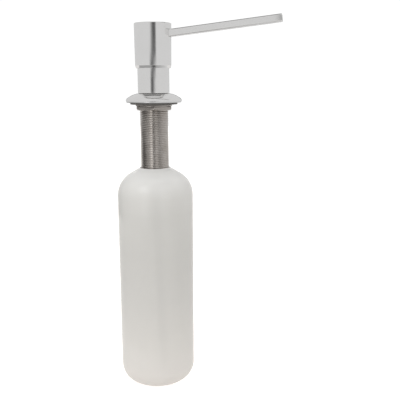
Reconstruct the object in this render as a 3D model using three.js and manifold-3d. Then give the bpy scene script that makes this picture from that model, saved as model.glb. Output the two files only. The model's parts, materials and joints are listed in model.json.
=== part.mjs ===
// Deck-mounted pump soap dispenser, in millimetres, +Z up.
// The origin is the centre of the worktop hole, on the surface that the deck gasket sits on.
// +X runs along the spout. Every piece is a closed solid, and neighbours are GAP apart.

import * as THREE from 'three';
import { mergeVertices } from 'three/addons/utils/BufferGeometryUtils.js';
import Module from 'manifold-3d';

const wasm = await Module();
wasm.setup();

// ---- driving dimensions ----

const GAP = 0.3;
const ROUND = 40;                 // sides of the large round pieces
const FINE = 24;                  // sides of the small round pieces
const BALL_SIDES = 16;
const PAST = 1;                   // how far a cutting tool runs past what it cuts

const HEAD = {
  top: 66.3, ceiling: 63.6, bottom: 29.8, chamferTop: 32,
  rTop: 15.5, rLow: 15.15, rEdge: 14.35, edge: 0.6, bore: 13.7,
};
const SPOUT = {
  rise: THREE.MathUtils.degToRad(6.3), axisZ: 56.5, root: 7.5, tip: 107.5,
  width: 8, height: 6.2, wall: 0.8, corner: 0.9,
};
const LINER = { root: 3.5, r: 2, bore: 1.3 };
const TIP = { length: 2.8, recess: 0.35, bore: 1.3 };
const HUB = { sleeveR: 6.5, sleeveBottom: 47.8, bottom: 51, seat: 53.4, passage: 1.6 };

const ROD = {
  r: 3.5, bore: 1.6, bottom: -23.5, pocket: 2.4, pocketBottom: 48.2,
  stopR: 4.9, stopBottom: -11.9, stopTop: -10.4,
};
const CLIP = { grooveR: 3, grooveBottom: -22.5, grooveTop: -20.8, r: 4.9 };
const BORE = 6.25;                // radius of the pump chamber
const PISTON = { lip: 1.5, waist: 0.55 };
const OUTLET_BALL = 2;
const INLET_BALL = 2.5;
const SPRING = { wire: 0.9, r: 4.4, coils: 6, sides: 6, stepsPerCoil: 14 };

const CYLINDER = { r: 8.75, top: 24, bottom: -46, floor: -44.3, rimR: 11.2, rimBottom: 7.6, rimTop: 9 };
const SNOUT = { r: 5.5, bottom: -60, chamberR: 3.2, seatTop: -50.3, seatR: 1.9, socketTop: -53 };
const CAGE = { height: 1.4, bore: 1.9 };
const GUIDE = { rim: 1.7 };
const WIPER = { r: 7, height: 2.1 };
const CLOSURE = { r: 12.1, grooveR: 11, grooveTop: 10.6, top: 33 };
const O_RING = { r: 11.75, section: 0.45 };
const COLLAR = { r: 13.3, wall: 0.9, top: 33.2, chamfer: 0.3 };

const SHANK = { r: 12, bore: 9.5, top: 6.3, bottom: -67, chamfer: 0.6 };
const FLANGE = {
  top: 9, seatR: 13.6, slope: 10,  // degrees the dome already falls at its seat
  lipR: 11.6, lipBottom: 6.6, rimR: 23.6, rimZ: 3.1, rimRadius: 2.4, bottom: 1.6,
};
const GASKET = { r: 20, bore: 12.6, top: 1.3, beadR: 17.8, relief: 0.4 };
const WASHER = { r: 15.4, top: -0.3, bottom: -1.6 };
const NUT = {
  acrossFlats: 29, top: -1.9, bottom: -5, turn: THREE.MathUtils.degToRad(-74),
  faceR: 14.3, coneSlope: 0.55,  // the flat ring under it, and how fast its corners rise from there
};

const BOTTLE = {
  r: 32.6, wall: 1.2, bottom: -248.5, cornerR: 14.6,
  shoulderR: 22, shoulderZ: -78, shoulderTurn: 60,  // degrees of round before the sloping top
};
const PUSH_UP = { height: 3, footR: 14, midR: 8.4, midHeight: 1.65 };  // the hollow under the bottle
const NECK = {
  mouthZ: -54.4, mouthFace: 0.8, boreR: 12.4, bossR: 15, sealSeat: -69, lipR: 10.2, lipBottom: -70.4,
};
const DIP_TUBE = {
  r: 3.5, bore: 2.5, bottom: -241, straight: 8, bow: 5.4, bowTurn: THREE.MathUtils.degToRad(16),
  sides: 12, steps: 22,
};

// ---- finishes ----

const FINISH = {
  chrome: { color: 0xcbcac8, metalness: 1, roughness: 0.12 },
  steel: { color: 0xb8b6b2, metalness: 1, roughness: 0.3 },
  shank: { color: 0x8d867f, metalness: 1, roughness: 0.4 },
  rubber: { color: 0x2a2827, metalness: 0, roughness: 0.75 },
  seal: { color: 0x8a8a86, metalness: 0, roughness: 0.6 },
  white: { color: 0xe9e9e6, metalness: 0, roughness: 0.4 },
  tube: { color: 0xe2e3de, metalness: 0, roughness: 0.35 },
  milky: { color: 0xdddcd6, metalness: 0, roughness: 0.45 },
};

// ---- geometry helpers ----

// Drops the seams of a geometry, and the triangles that collapse onto the axis.
function closed(geometry) {
  const bare = geometry.clone();
  bare.deleteAttribute('normal');
  bare.deleteAttribute('uv');
  const merged = mergeVertices(bare, 1e-5);
  const corners = Array.from(merged.index.array);
  const kept = [];
  for (let i = 0; i < corners.length; i += 3) {
    const [a, b, c] = corners.slice(i, i + 3);
    if (a !== b && b !== c && a !== c) kept.push(a, b, c);
  }
  merged.setIndex(kept);
  return merged;
}

function toSolid(geometry) {
  const { index, attributes } = closed(geometry);
  return new wasm.Manifold(new wasm.Mesh({
    numProp: 3,
    vertProperties: Float32Array.from(attributes.position.array),
    triVerts: Uint32Array.from(index.array),
  }));
}

function toGeometry(solid) {
  const { vertProperties, triVerts } = solid.getMesh();
  const geometry = new THREE.BufferGeometry();
  geometry.setAttribute('position', new THREE.BufferAttribute(vertProperties, 3));
  geometry.setIndex(new THREE.BufferAttribute(triVerts, 1));
  return geometry;
}

function cut(geometry, ...tools) {
  return toGeometry(tools.reduce((solid, tool) => solid.subtract(toSolid(tool)), toSolid(geometry)));
}

// Turns an [r, z] outline about Z. The outline runs up its outer side, and either starts and ends on
// the axis or is a ring that this function closes.
function revolve(outline, sides = ROUND) {
  const points = outline.map(([r, z]) => new THREE.Vector2(r, z));
  if (outline[0][0] > 0) points.push(points[0].clone());
  return closed(new THREE.LatheGeometry(points, sides).rotateX(Math.PI / 2));
}

function ring(inner, outer, bottom, top, sides = ROUND) {
  return revolve([[inner, bottom], [outer, bottom], [outer, top], [inner, top]], sides);
}

// Points on a round stretch of an outline, from one angle to the other in degrees.
function arc(r, z, radius, from, to, steps) {
  return Array.from({ length: steps + 1 }, (_, i) => {
    const angle = THREE.MathUtils.degToRad(from + ((to - from) * i) / steps);
    return [r + radius * Math.cos(angle), z + radius * Math.sin(angle)];
  });
}

function ball(radius, z) {
  const sphere = new THREE.SphereGeometry(radius, BALL_SIDES, BALL_SIDES / 2);
  return closed(sphere.rotateX(Math.PI / 2).translate(0, 0, z));
}

// The corners of a polygon on a circle.
function polygon(radius, sides) {
  return Array.from({ length: sides }, (_, i) => {
    const angle = (2 * Math.PI * i) / sides;
    return new THREE.Vector2(radius * Math.cos(angle), radius * Math.sin(angle));
  });
}

// A rectangle with round corners, as a Shape or as a hole in one.
function roundedRectangle(width, height, radius, Kind = THREE.Shape) {
  const x = width / 2 - radius;
  const y = height / 2 - radius;
  const outline = new Kind();
  outline.absarc(x, y, radius, 0, Math.PI / 2);
  outline.absarc(-x, y, radius, Math.PI / 2, Math.PI);
  outline.absarc(-x, -y, radius, Math.PI, 1.5 * Math.PI);
  outline.absarc(x, -y, radius, 1.5 * Math.PI, 2 * Math.PI);
  outline.closePath();
  return outline;
}

function circle(radius, Kind = THREE.Shape) {
  return new Kind().absarc(0, 0, radius, 0, 2 * Math.PI);
}

// An extrusion along the spout, from one distance along its centreline to another, as it lies in the
// spout's own space, where +X points to the tip.
function alongSpout(shape, from, to, curveSegments = 3) {
  const bar = new THREE.ExtrudeGeometry(shape, { depth: to - from, bevelEnabled: false, curveSegments });
  return closed(bar.rotateZ(Math.PI / 2).rotateY(Math.PI / 2).translate(from, 0, 0));
}

// The same extrusion where the spout really is, for cutting its hole.
function atSpout(geometry) {
  return geometry.clone().rotateY(-SPOUT.rise).translate(0, 0, SPOUT.axisZ);
}

// ---- head ----

function headCap() {
  const shell = revolve([
    [0, HEAD.ceiling],
    [HEAD.bore, HEAD.ceiling],
    [HEAD.bore, HEAD.bottom],
    [HEAD.rEdge, HEAD.bottom],
    [HEAD.rLow, HEAD.chamferTop],
    ...arc(HEAD.rTop - HEAD.edge, HEAD.top - HEAD.edge, HEAD.edge, 0, 90, 3),
    [0, HEAD.top],
  ]);
  const hole = roundedRectangle(SPOUT.width + 2 * GAP, SPOUT.height + 2 * GAP, SPOUT.corner);
  return cut(shell, atSpout(alongSpout(hole, HEAD.bore - 4 * PAST, HEAD.rTop + 4 * PAST)));
}

function headHub() {
  const rodSeat = ROD.r + GAP;
  const outer = HEAD.bore - GAP;
  const body = revolve([
    [0, HUB.seat],
    [rodSeat, HUB.seat],
    [rodSeat, HUB.sleeveBottom],
    [HUB.sleeveR, HUB.sleeveBottom],
    [HUB.sleeveR, HUB.bottom],
    [outer, HUB.bottom],
    [outer, HEAD.ceiling - GAP],
    [0, HEAD.ceiling - GAP],
  ]);
  const pocket = roundedRectangle(SPOUT.width + 2 * GAP, SPOUT.height + 2 * GAP, SPOUT.corner);
  const linerBore = LINER.r + GAP;
  const riser = ring(0, HUB.passage, HUB.seat - PAST, SPOUT.axisZ, FINE);
  return cut(
    body,
    riser,
    atSpout(alongSpout(circle(linerBore), -linerBore, SPOUT.root, 5)),
    atSpout(alongSpout(pocket, SPOUT.root - GAP, HEAD.rTop)),
  );
}

function spoutTube() {
  const section = roundedRectangle(SPOUT.width, SPOUT.height, SPOUT.corner);
  const inside = 2 * SPOUT.wall;
  const bore = roundedRectangle(SPOUT.width - inside, SPOUT.height - inside, SPOUT.wall / 2, THREE.Path);
  section.holes.push(bore);
  return alongSpout(section, SPOUT.root, SPOUT.tip);
}

function spoutLiner() {
  const section = circle(LINER.r);
  section.holes.push(circle(LINER.bore, THREE.Path));
  return alongSpout(section, LINER.root, SPOUT.tip - TIP.recess - TIP.length - GAP, 4);
}

function spoutTip() {
  const inset = 2 * (SPOUT.wall + GAP);
  const section = roundedRectangle(SPOUT.width - inset, SPOUT.height - inset, SPOUT.wall / 2);
  section.holes.push(circle(TIP.bore, THREE.Path));
  const end = SPOUT.tip - TIP.recess;
  return alongSpout(section, end - TIP.length, end, 4);
}

// ---- stem ----

function pistonRod() {
  return revolve([
    [ROD.bore, ROD.bottom],
    [ROD.r, ROD.bottom],
    [ROD.r, CLIP.grooveBottom],
    [CLIP.grooveR, CLIP.grooveBottom],
    [CLIP.grooveR, CLIP.grooveTop],
    [ROD.r, CLIP.grooveTop],
    [ROD.r, ROD.stopBottom],
    [ROD.stopR, ROD.stopBottom],
    [ROD.stopR, ROD.stopTop],
    [ROD.r, ROD.stopTop],
    [ROD.r, HUB.seat - GAP],
    [ROD.pocket, HUB.seat - GAP],
    [ROD.pocket, ROD.pocketBottom],
    [ROD.bore, ROD.pocketBottom],
  ], FINE);
}

function piston() {
  const inner = ROD.r + GAP;
  const outer = BORE - GAP;
  const bottom = CLIP.grooveTop + GAP;
  const top = ROD.stopBottom - GAP;
  const waist = outer - PISTON.waist;
  return revolve([
    [inner, bottom],
    [outer, bottom],
    [outer, bottom + PISTON.lip],
    [waist, bottom + 2 * PISTON.lip],
    [waist, top - 2 * PISTON.lip],
    [outer, top - PISTON.lip],
    [outer, top],
    [inner, top],
  ], FINE);
}

function pistonClip() {
  return ring(CLIP.grooveR + GAP, CLIP.r, CLIP.grooveBottom + GAP, CLIP.grooveTop - GAP, FINE);
}

// How high a ball's centre lies when it rests GAP above the edge of a round seat.
function seatedBall(seatZ, seatR, ballR) {
  return seatZ + Math.sqrt((ballR + GAP) ** 2 - seatR ** 2);
}

// ---- pump cartridge ----

class Helix extends THREE.Curve {
  constructor(radius, bottom, top, turns) {
    super();
    Object.assign(this, { radius, bottom, top, turns });
  }

  getPoint(t, target = new THREE.Vector3()) {
    const angle = 2 * Math.PI * this.turns * t;
    const z = this.bottom + (this.top - this.bottom) * t;
    return target.set(this.radius * Math.cos(angle), this.radius * Math.sin(angle), z);
  }
}

const cageTop = CYLINDER.floor + GAP + CAGE.height;

function returnSpring() {
  const end = SPRING.wire / 2 + GAP;
  const path = new Helix(SPRING.r, cageTop + end, CLIP.grooveBottom + GAP - end, SPRING.coils);
  const steps = SPRING.coils * SPRING.stepsPerCoil;
  const section = new THREE.Shape(polygon(SPRING.wire / 2, SPRING.sides));
  return closed(new THREE.ExtrudeGeometry(section, { extrudePath: path, steps }));
}

function pumpCylinder() {
  return revolve([
    [DIP_TUBE.r + GAP, SNOUT.bottom],
    [SNOUT.r, SNOUT.bottom],
    [SNOUT.r, CYLINDER.bottom],
    [CYLINDER.r, CYLINDER.bottom],
    [CYLINDER.r, CYLINDER.rimBottom],
    [CYLINDER.rimR, CYLINDER.rimBottom],
    [CYLINDER.rimR, CYLINDER.rimTop],
    [CYLINDER.r, CYLINDER.rimTop],
    [CYLINDER.r, CYLINDER.top],
    [BORE, CYLINDER.top],
    [BORE, CYLINDER.floor],
    [SNOUT.chamberR, CYLINDER.floor],
    [SNOUT.chamberR, SNOUT.seatTop],
    [SNOUT.seatR, SNOUT.seatTop],
    [SNOUT.seatR, SNOUT.socketTop],
    [DIP_TUBE.r + GAP, SNOUT.socketTop],
  ], FINE);
}

function ballCage() {
  return ring(CAGE.bore, BORE - GAP, CYLINDER.floor + GAP, cageTop, FINE);
}

const guideTop = CYLINDER.top + GAP + GUIDE.rim;
const wiperTop = guideTop + GAP + WIPER.height;

function rodGuide() {
  const inner = ROD.r + GAP;
  const outer = BORE - GAP;
  return revolve([
    [inner, ROD.stopTop + GAP],
    [outer, ROD.stopTop + GAP],
    [outer, CYLINDER.top + GAP],
    [CYLINDER.r, CYLINDER.top + GAP],
    [CYLINDER.r, guideTop],
    [inner, guideTop],
  ], FINE);
}

function rodWiper() {
  return ring(ROD.r + GAP, WIPER.r, guideTop + GAP, wiperTop, FINE);
}

function closure() {
  const bottom = CYLINDER.rimTop + GAP;
  const inner = CYLINDER.r + GAP;
  return revolve([
    [inner, bottom],
    [CLOSURE.grooveR, bottom],
    [CLOSURE.grooveR, CLOSURE.grooveTop],
    [CLOSURE.r, CLOSURE.grooveTop],
    [CLOSURE.r, CLOSURE.top],
    [ROD.r + GAP, CLOSURE.top],
    [ROD.r + GAP, wiperTop + GAP],
    [inner, wiperTop + GAP],
  ]);
}

function collarORing() {
  const z = FLANGE.top + GAP + O_RING.section;
  return revolve(arc(O_RING.r, z, O_RING.section, -180, 135, 7));
}

function collar() {
  const { r, wall, top, chamfer } = COLLAR;
  const bottom = FLANGE.top + GAP;
  return revolve([
    [r - wall, bottom],
    [r - chamfer, bottom],
    [r, bottom + chamfer],
    [r, top - chamfer],
    [r - chamfer, top],
    [r - wall, top],
  ]);
}

function cylinderGasket() {
  return ring(CYLINDER.r + GAP, CYLINDER.rimR, SHANK.top + GAP, CYLINDER.rimBottom - GAP);
}

// The pickup tube hangs straight out of its socket and then bows to one side.
class BowedPath extends THREE.Curve {
  getPoint(t, target = new THREE.Vector3()) {
    const top = SNOUT.socketTop - GAP;
    const length = top - DIP_TUBE.bottom;
    const free = Math.max(0, t * length - DIP_TUBE.straight) / (length - DIP_TUBE.straight);
    const offset = DIP_TUBE.bow * free ** 1.1;
    return target.set(
      offset * Math.cos(DIP_TUBE.bowTurn),
      offset * Math.sin(DIP_TUBE.bowTurn),
      top - t * length,
    );
  }
}

function dipTube() {
  const section = new THREE.Shape(polygon(DIP_TUBE.r, DIP_TUBE.sides));
  section.holes.push(new THREE.Path(polygon(DIP_TUBE.bore, DIP_TUBE.sides)));
  const settings = { extrudePath: new BowedPath(), steps: DIP_TUBE.steps };
  return closed(new THREE.ExtrudeGeometry(section, settings));
}

// ---- deck fitting ----

// Its dome is one large arc that starts at the seat and runs tangent into the round rim.
function flange() {
  const { rimRadius } = FLANGE;
  const rim = new THREE.Vector2(FLANGE.rimR - rimRadius, FLANGE.rimZ);
  const seat = new THREE.Vector2(FLANGE.seatR, FLANGE.top);
  const start = 90 - FLANGE.slope;
  const [x, y] = arc(0, 0, 1, start, start, 1)[0];
  const normal = new THREE.Vector2(x, y);
  const across = seat.clone().sub(rim);
  const domeR = (across.lengthSq() - rimRadius ** 2) / (2 * (across.dot(normal) - rimRadius));
  const dome = seat.clone().addScaledVector(normal, -domeR);
  const tangent = THREE.MathUtils.radToDeg(rim.clone().sub(dome).angle());
  const lowest = -THREE.MathUtils.radToDeg(Math.asin((FLANGE.rimZ - FLANGE.bottom) / rimRadius));
  const boreR = SHANK.r + GAP;
  return revolve([
    [boreR, FLANGE.bottom],
    ...arc(rim.x, rim.y, rimRadius, lowest, tangent, 8),
    ...arc(dome.x, dome.y, domeR, tangent, start, 6).slice(1),
    [FLANGE.lipR, FLANGE.top],
    [FLANGE.lipR, FLANGE.lipBottom],
    [boreR, FLANGE.lipBottom],
  ]);
}

// Only a raised bead round the gasket's edge touches the worktop.
function deckGasket() {
  const { r, bore, top, beadR, relief } = GASKET;
  return revolve([
    [bore, relief],
    [beadR - relief, relief],
    [beadR, 0],
    [r, 0],
    [r, top],
    [bore, top],
  ]);
}

function shank() {
  const { r, bore, top, bottom, chamfer } = SHANK;
  return revolve([
    [bore, bottom],
    [r - chamfer, bottom],
    [r, bottom + chamfer],
    [r, top - chamfer],
    [r - chamfer, top],
    [bore, top],
  ]);
}

function clampWasher() {
  return ring(SHANK.r + GAP, WASHER.r, WASHER.bottom, WASHER.top);
}

// A hexagon nut whose lower corners are turned off to a cone.
function mountingNut() {
  const corner = NUT.acrossFlats / 2 / Math.cos(Math.PI / 6);
  const hexagon = new THREE.Shape(polygon(corner, 6));
  const height = NUT.top - NUT.bottom;
  const prism = new THREE.ExtrudeGeometry(hexagon, { depth: height, bevelEnabled: false });
  prism.rotateZ(NUT.turn).translate(0, 0, NUT.bottom);
  const outside = corner + PAST;
  const turned = revolve([
    [0, NUT.bottom],
    [NUT.faceR, NUT.bottom],
    [outside, NUT.bottom + (outside - NUT.faceR) * NUT.coneSlope],
    [outside, NUT.top + PAST],
    [0, NUT.top + PAST],
  ]);
  const blank = toGeometry(toSolid(prism).intersect(toSolid(turned)));
  return cut(blank, ring(0, SHANK.r + GAP, NUT.bottom - PAST, NUT.top + PAST));
}

// ---- bottle ----

// The height of the sloping top over a radius, on a shoulder of the given round.
function slopeZ(round, radius) {
  const { r, shoulderR, shoulderZ, shoulderTurn } = BOTTLE;
  const [[endR, endZ]] = arc(r - shoulderR, shoulderZ, round, shoulderTurn, shoulderTurn, 1);
  return endZ + (endR - radius) * Math.tan(THREE.MathUtils.degToRad(90 - shoulderTurn));
}

function bottle() {
  const { r, wall, bottom, cornerR, shoulderR, shoulderZ, shoulderTurn } = BOTTLE;
  const { mouthZ, mouthFace, boreR, bossR, sealSeat, lipR, lipBottom } = NECK;
  const innerR = shoulderR - wall;
  const faceR = boreR + mouthFace;
  const corner = [r - cornerR, bottom + cornerR];
  const shoulder = [r - shoulderR, shoulderZ];
  return revolve([
    [0, bottom + PUSH_UP.height],
    [PUSH_UP.midR, bottom + PUSH_UP.midHeight],
    [PUSH_UP.footR, bottom],
    ...arc(...corner, cornerR, -90, 0, 6),
    ...arc(...shoulder, shoulderR, 0, shoulderTurn, 6),
    [faceR, slopeZ(shoulderR, faceR)],
    [boreR, mouthZ],
    [boreR, sealSeat],
    [lipR, sealSeat],
    [lipR, lipBottom],
    [bossR, lipBottom],
    [bossR, slopeZ(innerR, bossR)],
    ...arc(...shoulder, innerR, shoulderTurn, 0, 6),
    ...arc(...corner, cornerR - wall, 0, -90, 6),
    [PUSH_UP.footR, bottom + wall],
    [PUSH_UP.midR, bottom + wall + PUSH_UP.midHeight],
    [0, bottom + wall + PUSH_UP.height],
  ]);
}

function bottleSeal() {
  return ring(NECK.lipR, NECK.boreR - GAP, NECK.sealSeat + GAP, SHANK.bottom - GAP);
}

// ---- assembly ----

const assembly = new THREE.Group();

function place(name, geometry, finish, parent = assembly) {
  const mesh = new THREE.Mesh(geometry, new THREE.MeshStandardMaterial(FINISH[finish]));
  mesh.name = name;
  parent.add(mesh);
  return mesh;
}

const spoutSpace = new THREE.Group();
spoutSpace.position.z = SPOUT.axisZ;
spoutSpace.rotation.y = -SPOUT.rise;
assembly.add(spoutSpace);

place('head_cap', headCap(), 'chrome');
place('head_hub', headHub(), 'white');
place('spout_tube', spoutTube(), 'chrome', spoutSpace);
place('spout_liner', spoutLiner(), 'tube', spoutSpace);
place('spout_tip', spoutTip(), 'chrome', spoutSpace);

place('piston_rod', pistonRod(), 'white');
place('piston', piston(), 'seal');
place('piston_clip', pistonClip(), 'steel');
place('outlet_ball', ball(OUTLET_BALL, seatedBall(ROD.pocketBottom, ROD.bore, OUTLET_BALL)), 'steel');

place('return_spring', returnSpring(), 'steel');
place('pump_cylinder', pumpCylinder(), 'white');
place('rod_guide', rodGuide(), 'white');
place('rod_wiper', rodWiper(), 'rubber');
place('closure', closure(), 'white');
place('collar', collar(), 'chrome');
place('collar_o_ring', collarORing(), 'rubber');
place('cylinder_gasket', cylinderGasket(), 'rubber');
place('ball_cage', ballCage(), 'white');
place('inlet_ball', ball(INLET_BALL, seatedBall(SNOUT.seatTop, SNOUT.seatR, INLET_BALL)), 'steel');
place('dip_tube', dipTube(), 'tube');

place('flange', flange(), 'chrome');
place('deck_gasket', deckGasket(), 'rubber');
place('shank', shank(), 'shank');
place('clamp_washer', clampWasher(), 'shank');
place('mounting_nut', mountingNut(), 'shank');

place('bottle', bottle(), 'milky');
place('bottle_seal', bottleSeal(), 'rubber');

export default assembly;
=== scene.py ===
"""Looks of the deck-mounted pump soap dispenser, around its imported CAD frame.

The pieces are worked out in millimetres, most of them as outlines of (r, z) that are turned about
the axis, and mesh_object brings them to the frame's metres. The camera and the studio are in metres.
"""
import json
import math

import bpy
from mathutils import Matrix, Vector, noise


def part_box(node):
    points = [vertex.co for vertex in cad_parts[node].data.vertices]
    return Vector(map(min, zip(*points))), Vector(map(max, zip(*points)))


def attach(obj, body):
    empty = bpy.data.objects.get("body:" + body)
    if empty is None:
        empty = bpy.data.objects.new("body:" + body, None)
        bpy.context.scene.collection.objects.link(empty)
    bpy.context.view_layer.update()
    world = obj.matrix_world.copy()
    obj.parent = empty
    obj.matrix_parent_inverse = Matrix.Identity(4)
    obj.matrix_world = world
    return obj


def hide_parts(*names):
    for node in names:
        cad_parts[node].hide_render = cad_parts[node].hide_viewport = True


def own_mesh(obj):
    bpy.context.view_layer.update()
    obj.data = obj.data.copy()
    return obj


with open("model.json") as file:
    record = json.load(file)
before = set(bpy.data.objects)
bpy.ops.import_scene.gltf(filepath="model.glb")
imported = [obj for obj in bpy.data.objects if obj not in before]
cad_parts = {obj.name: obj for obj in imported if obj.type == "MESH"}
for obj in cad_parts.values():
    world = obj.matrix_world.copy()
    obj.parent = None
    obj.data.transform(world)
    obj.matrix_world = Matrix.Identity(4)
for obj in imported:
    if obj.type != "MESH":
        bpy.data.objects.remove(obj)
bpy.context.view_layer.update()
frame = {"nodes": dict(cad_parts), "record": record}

MM = 0.001
TINY = 1e-6
EDGE_MARGIN = 0.05                     # from an edge to the points that keep the face beside it flat
VIEW_AZIMUTH = math.radians(16)        # how far round the camera stands from square to the spout
GAP = 0.3                              # between neighbouring pieces, as in the CAD
STEM_BORE = 3.8                        # inner radius of the pieces round the stem
BARREL_BORE = 9.05                     # inner radius of the pieces round the pump's barrel
SHANK_BORE = 12.3                      # inner radius of the pieces round the shank

NODE_BODY = {
    node: body for body, nodes in frame["record"]["behaviour"]["bodies"].items() for node in nodes
}
NODE_SLOT = {row["node"]: row["material_slot"] for row in frame["record"]["subparts"]}


# ---- mesh helpers ----

def heights(node):
    """The lowest and highest z of a CAD node, in millimetres."""
    low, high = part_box(node)
    return low.z / MM, high.z / MM


def radius(node):
    """The outer radius of a CAD node that is round about the axis, in millimetres."""
    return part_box(node)[1].x / MM


def unit(x, y):
    length = math.hypot(x, y)
    return x / length, y / length


def fillet(before, corner, after, steps):
    """Points that round a corner (r, z, radius) between its two neighbours."""
    r, z, size = corner
    ax, ay = unit(before[0] - r, before[1] - z)
    bx, by = unit(after[0] - r, after[1] - z)
    half = math.acos(max(-1, min(1, ax * bx + ay * by))) / 2
    mx, my = unit(ax + bx, ay + by)
    cx, cy = r + mx * size / math.sin(half), z + my * size / math.sin(half)
    reach = size / math.tan(half)
    start = math.atan2(z + ay * reach - cy, r + ax * reach - cx)
    end = math.atan2(z + by * reach - cy, r + bx * reach - cx)
    turn = (end - start + math.pi) % (2 * math.pi) - math.pi
    angles = [start + turn * i / steps for i in range(steps + 1)]
    return [(cx + size * math.cos(a), cy + size * math.sin(a)) for a in angles]


def rounded(corners, steps=4):
    """An outline from corners (r, z) and (r, z, fillet radius)."""
    outline = []
    for i, corner in enumerate(corners):
        if len(corner) == 2:
            outline.append(corner)
        else:
            outline += fillet(corners[i - 1], corner, corners[(i + 1) % len(corners)], steps)
    return outline


def arc(r, z, size, start, end, steps):
    """A round stretch of an outline, between two angles in degrees."""
    angles = [math.radians(start + (end - start) * i / steps) for i in range(steps + 1)]
    return [(r + size * math.cos(a), z + size * math.sin(a)) for a in angles]


def mesh_object(name, points, faces, sharp=30):
    """A smooth-shaded object from points in millimetres. Edges sharper than an angle stay crisp."""
    mesh = bpy.data.meshes.new(name)
    mesh.from_pydata([Vector(p) * MM for p in points], [], faces)
    mesh.validate()
    obj = bpy.data.objects.new(name, mesh)
    bpy.context.scene.collection.objects.link(obj)
    shade(obj, sharp)
    return obj


def shade(obj, sharp=30):
    obj.data.shade_smooth()
    obj.data.set_sharp_from_angle(angle=math.radians(sharp))


def supported(outline, ring):
    """Adds points close to both ends of each long stretch, so that smooth shading keeps it straight."""
    least = 0.8
    points = []
    for i, (r, z) in enumerate(outline):
        points.append((r, z))
        if i + 1 == len(outline) and not ring:
            break
        next_r, next_z = outline[(i + 1) % len(outline)]
        length = math.hypot(next_r - r, next_z - z)
        if length > least:
            for share in (EDGE_MARGIN / length, 1 - EDGE_MARGIN / length):
                points.append((r + (next_r - r) * share, z + (next_z - z) * share))
    return points


def turned(name, outline, sides=144, reshape=None, angles=None, sharp=30):
    """Turns an outline about the axis. The outline runs up its outer side, and is a ring unless it
    starts and ends on the axis. reshape(r, z, angle) may move each point."""
    ring = outline[0][0] > TINY
    outline = supported(outline, ring)
    angles = angles or [2 * math.pi * i / sides for i in range(sides)]
    points, rows = [], []
    for r, z in outline:
        if r < TINY:
            rows.append([len(points)] * len(angles))
            points.append((0, 0, z))
            continue
        rows.append(range(len(points), len(points) + len(angles)))
        for a in angles:
            pr, pz = reshape(r, z, a) if reshape else (r, z)
            points.append((pr * math.cos(a), pr * math.sin(a), pz))
    faces = []
    for j in range(len(rows) - (0 if ring else 1)):
        low, high = rows[j], rows[(j + 1) % len(rows)]
        for i in range(len(angles)):
            k = (i + 1) % len(angles)
            face = list(dict.fromkeys((low[i], low[k], high[k], high[i])))
            if len(face) > 2:
                faces.append(face)
    return mesh_object(name, points, faces, sharp)


def lofted(name, rings, cyclic=True):
    """Skins rings of equally many points. A cyclic loft closes on its first ring, as a tube does, and
    any other gets a flat end at its first and last ring."""
    count = len(rings[0])
    points = [p for ring in rings for p in ring]
    faces = []
    for j in range(len(rings) - (0 if cyclic else 1)):
        low, high = j * count, (j + 1) % len(rings) * count
        for i in range(count):
            k = (i + 1) % count
            faces.append((low + i, low + k, high + k, high + i))
    if not cyclic:
        faces.append(tuple(reversed(range(count))))
        faces.append(tuple(range((len(rings) - 1) * count, len(points))))
    return mesh_object(name, points, faces)


def applied(obj, kind, **settings):
    """Adds a modifier and replaces the mesh with its result."""
    modifier = obj.modifiers.new(kind, kind)
    for key, value in settings.items():
        setattr(modifier, key, value)
    bpy.context.view_layer.update()
    result = bpy.data.meshes.new_from_object(obj.evaluated_get(bpy.context.evaluated_depsgraph_get()))
    obj.modifiers.clear()
    obj.data = result


def cut(obj, tool):
    """Takes the tool's shape out of an object."""
    applied(obj, "BOOLEAN", operation="DIFFERENCE", object=tool, solver="EXACT")
    bpy.data.objects.remove(tool)
    shade(obj)
    return obj


def stand_for(obj, node):
    """The finished piece takes the place of a CAD node, with its body, material slot and finish."""
    obj.name = node + "_piece"
    obj.data.materials.clear()
    obj.data.materials.append(PAINTS[NODE_SLOT[node]])
    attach(obj, NODE_BODY[node])
    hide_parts(node)
    return obj


# ---- material helpers ----

MIX_COLOUR_INPUTS, MIX_COLOUR_OUTPUT = (0, 6, 7), 2     # a Mix node's sockets for colours


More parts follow.
